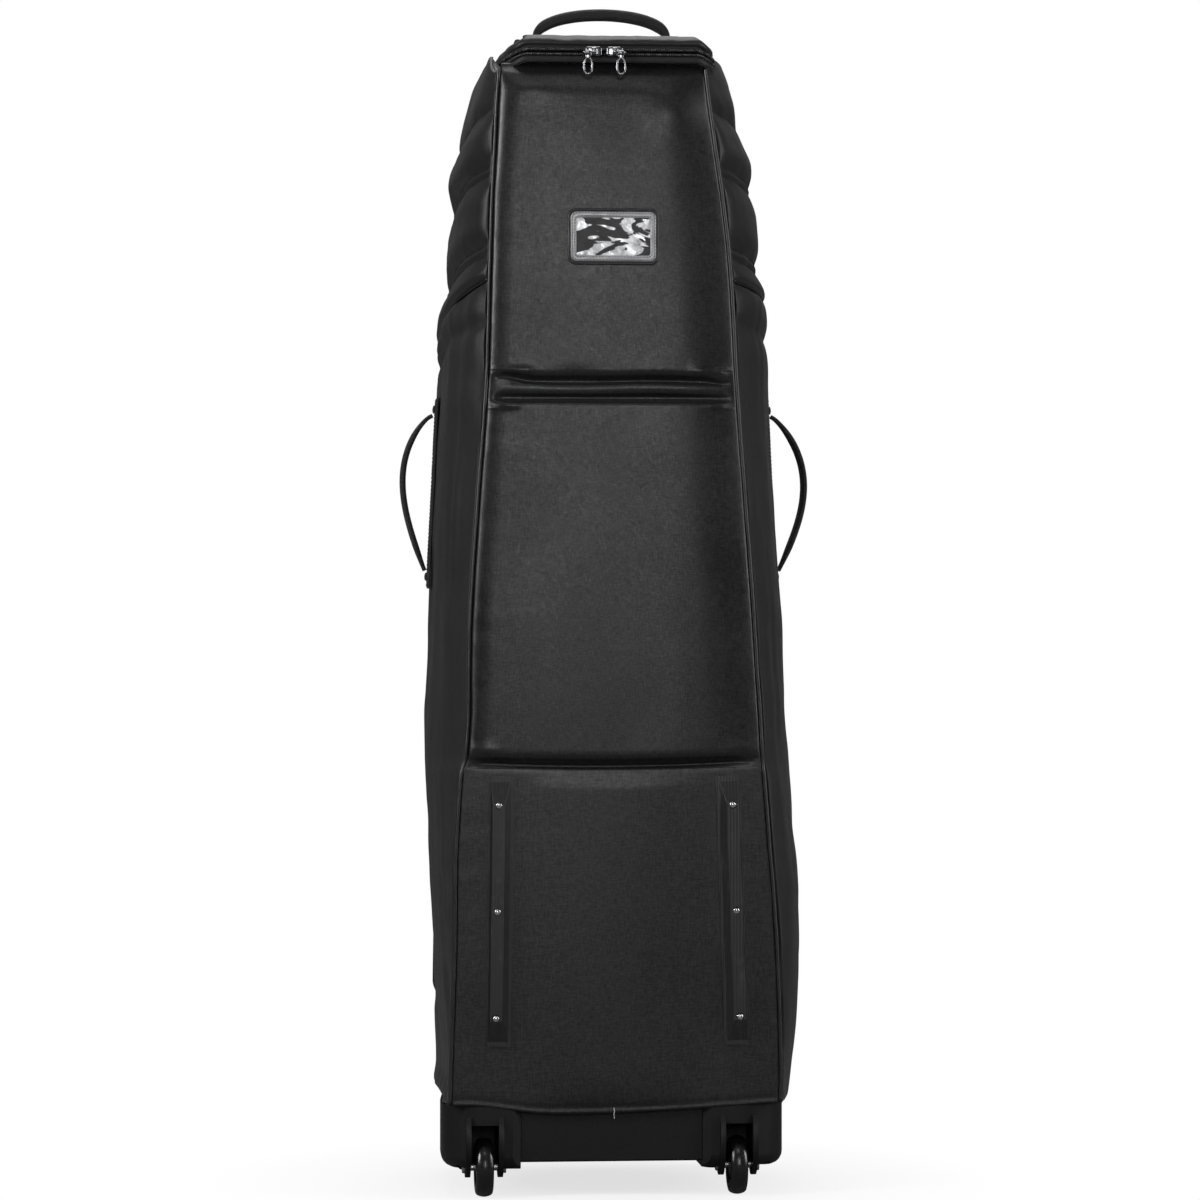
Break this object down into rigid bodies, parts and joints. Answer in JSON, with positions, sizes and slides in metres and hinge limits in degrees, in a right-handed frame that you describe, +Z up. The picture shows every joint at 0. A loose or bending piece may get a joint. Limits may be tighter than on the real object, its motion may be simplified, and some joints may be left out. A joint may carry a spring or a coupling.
{
  "type": "golf travel case",
  "caption": "Tall tapered padded case for a golf bag, with rolling wheels, skid rails, carry handles and a zipped front flap that folds down.",
  "frame": {"origin": "on the ground, on the centre line, at mid depth of the body", "axes": "+Z up along the case, -Y out of the back with the wheels and skid rails, +X to the right seen from the back"},
  "size_m": [0.4538, 0.3228, 1.304],
  "materials": {
    "base_plastic": "moulded, fine grain",
    "rail_plastic": "moulded, semi-gloss",
    "lining": "brushed lining",
    "rubber": "matt",
    "steel": "plated",
    "cover_fabric": "coated, fine grain, padded",
    "board": "sheet",
    "side_fabric": "woven polyester",
    "quilted_fabric": "woven, quilted padding",
    "piping": "smooth cord",
    "zip_coil": "coil",
    "webbing": "ribbed webbing",
    "vinyl": "soft vinyl",
    "clear_window": "clear flexible sheet",
    "buckle_plastic": "moulded",
    "zip_metal": "dark polished plating",
    "tyre": "smooth",
    "hub_plastic": "moulded"
  },
  "bodies": {
    "shell": {"base_tray": "base_plastic", "wheel_housing_right": "base_plastic", "wheel_housing_left": "base_plastic", "floor_pad": "lining", "foot_left": "rubber", "foot_right": "rubber", "axle_left": "steel", "axle_right": "steel", "back_cover": "cover_fabric", "stiffener_lower": "board", "stiffener_middle": "board", "stiffener_upper": "board", "skid_rail_left": "rail_plastic", "skid_rail_right": "rail_plastic", "rail_rivet_left_top": "steel", "rail_rivet_left_middle": "steel", "rail_rivet_left_low": "steel", "rail_rivet_right_top": "steel", "rail_rivet_right_middle": "steel", "rail_rivet_right_low": "steel", "side_panel_right": "side_fabric", "quilted_pad_right": "quilted_fabric", "piping_right": "piping", "side_panel_left": "side_fabric", "quilted_pad_left": "quilted_fabric", "piping_left": "piping", "front_lower_panel": "side_fabric", "top_band": "side_fabric", "zip_coil_body": "zip_coil", "side_handle_patch_left": "webbing", "side_handle_patch_right": "webbing", "tag_frame": "vinyl", "tag_window": "clear_window", "strap_web_upper": "webbing", "buckle_socket_upper": "buckle_plastic", "strap_web_lower": "webbing", "buckle_socket_lower": "buckle_plastic"},
    "flap": {"front_panel": "side_fabric", "top_pad": "quilted_fabric", "front_pocket": "side_fabric", "zip_coil_flap": "zip_coil", "top_handle_tab_left": "webbing", "top_handle_tab_right": "webbing"},
    "wheel_left": {"tyre_left": "tyre", "hub_left": "hub_plastic", "bearing_left": "steel"},
    "wheel_right": {"tyre_right": "tyre", "hub_right": "hub_plastic", "bearing_right": "steel"},
    "top_handle": {"top_handle": "webbing"},
    "side_handle_left": {"side_handle_left": "webbing"},
    "side_handle_right": {"side_handle_right": "webbing"},
    "zip_slider_left": {"zip_slider_left": "zip_metal"},
    "zip_slider_right": {"zip_slider_right": "zip_metal"},
    "zip_pull_left": {"zip_pull_left": "zip_metal"},
    "zip_pull_right": {"zip_pull_right": "zip_metal"},
    "buckle_plug_upper": {"buckle_plug_upper": "buckle_plastic"},
    "buckle_plug_lower": {"buckle_plug_lower": "buckle_plastic"}
  },
  "joints": [
    {"name": "wheel_left_spin", "type": "hinge", "parent": "shell", "child": "wheel_left", "pos_m": [-0.1382, -0.128, 0.032], "axis": [1, 0, 0], "continuous": true},
    {"name": "wheel_right_spin", "type": "hinge", "parent": "shell", "child": "wheel_right", "pos_m": [0.1382, -0.128, 0.032], "axis": [1, 0, 0], "continuous": true},
    {"name": "flap_open", "type": "hinge", "parent": "shell", "child": "flap", "pos_m": [0, 0.1434, 0.2135], "axis": [-1, 0, 0], "range_deg": [0, 100]},
    {"name": "top_handle_swing", "type": "hinge", "parent": "flap", "child": "top_handle", "pos_m": [0, -0.015, 1.272], "axis": [1, 0, 0], "range_deg": [-60, 60]},
    {"name": "side_handle_left_swing", "type": "hinge", "parent": "shell", "child": "side_handle_left", "pos_m": [-0.19968, -0.005, 0.766], "axis": [0.0502, 0, 0.9987], "range_deg": [-60, 60]},
    {"name": "side_handle_right_swing", "type": "hinge", "parent": "shell", "child": "side_handle_right", "pos_m": [0.19968, -0.005, 0.766], "axis": [-0.0502, 0, 0.9987], "range_deg": [-60, 60]},
    {"name": "zip_left_slide", "type": "slide", "parent": "shell", "child": "zip_slider_left", "axis": [-1, 0, 0], "range_m": [0, 0.06]},
    {"name": "zip_right_slide", "type": "slide", "parent": "shell", "child": "zip_slider_right", "axis": [1, 0, 0], "range_m": [0, 0.078]},
    {"name": "pull_left_swing", "type": "hinge", "parent": "zip_slider_left", "child": "zip_pull_left", "pos_m": [-0.027, -0.1539, 1.24], "axis": [-1, 0, 0], "range_deg": [0, 150]},
    {"name": "pull_right_swing", "type": "hinge", "parent": "zip_slider_right", "child": "zip_pull_right", "pos_m": [0.009, -0.1539, 1.24], "axis": [-1, 0, 0], "range_deg": [0, 150]},
    {"name": "buckle_upper_release", "type": "slide", "parent": "shell", "child": "buckle_plug_upper", "axis": [1, 0, 0], "range_m": [0, 0.026]},
    {"name": "buckle_lower_release", "type": "slide", "parent": "shell", "child": "buckle_plug_lower", "axis": [1, 0, 0], "range_m": [0, 0.026]}
  ]
}
